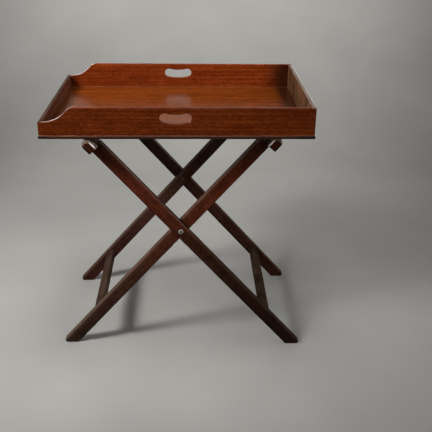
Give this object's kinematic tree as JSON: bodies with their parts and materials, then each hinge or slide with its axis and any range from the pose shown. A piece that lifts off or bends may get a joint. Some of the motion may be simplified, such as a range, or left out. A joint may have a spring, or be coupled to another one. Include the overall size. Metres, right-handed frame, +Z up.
{
  "type": "butler's tray table",
  "caption": "Dovetailed hardwood serving tray with hand holes and a low end, resting on webbing straps over a folding cross-legged stand.",
  "frame": {"origin": "on the floor, under the middle of the tray", "axes": "+X along the tray from its low end to its full-height end, +Y from the front side to the back side along the pivots, +Z up"},
  "size_m": [0.7846, 0.56, 0.8198],
  "materials": {
    "tray_wood": "polished red-brown hardwood, worn on the edges",
    "floor_wood": "polished orange-brown hardwood",
    "stand_wood": "dark polished hardwood",
    "pivot_iron": "dark hammered iron",
    "washer_steel": "worn bright steel",
    "screw_steel": "dulled steel",
    "tack_brass": "tarnished brass",
    "webbing": "woven jute webbing"
  },
  "bodies": {
    "outer_frame": {"outer_front_leg": "stand_wood", "outer_rear_leg": "stand_wood", "outer_top_rail": "stand_wood", "outer_stretcher": "stand_wood", "outer_strap_tacks": "tack_brass", "front_pivot_pin": "pivot_iron", "front_pivot_outer_washer": "washer_steel", "front_pivot_spacer": "washer_steel", "front_pivot_inner_washer": "washer_steel", "rear_pivot_pin": "pivot_iron", "rear_pivot_outer_washer": "washer_steel", "rear_pivot_spacer": "washer_steel", "rear_pivot_inner_washer": "washer_steel"},
    "inner_frame": {"inner_front_leg": "stand_wood", "inner_rear_leg": "stand_wood", "inner_top_rail": "stand_wood", "inner_stretcher": "stand_wood", "inner_strap_tacks": "tack_brass"},
    "webbing": {"webbing_strap_front": "webbing", "webbing_strap_rear": "webbing"},
    "tray": {"tray_front_side": "tray_wood", "tray_back_side": "tray_wood", "tray_low_end": "tray_wood", "tray_high_end": "tray_wood", "tray_floor_front_board": "floor_wood", "tray_floor_middle_board": "floor_wood", "tray_floor_back_board": "floor_wood", "tray_floor_screws": "screw_steel"}
  },
  "joints": [
    {"name": "stand_fold", "type": "hinge", "parent": "outer_frame", "child": "inner_frame", "pos_m": [0.006, 0, 0.41852], "axis": [0, -1, 0], "range_deg": [0, 75], "deforming": ["webbing_strap_front", "webbing_strap_rear"]},
    {"name": "webbing_rise", "type": "slide", "parent": "outer_frame", "child": "webbing", "axis": [0, 0, 1], "range_m": [0, 0.4]},
    {"name": "tray_lift", "type": "slide", "parent": "webbing", "child": "tray", "axis": [0, 0, 1], "range_m": [0, 0.25]}
  ],
  "couplings": [
    {"joint": "webbing_rise", "follows": "stand_fold", "m_per_rad": 0.3}
  ]
}
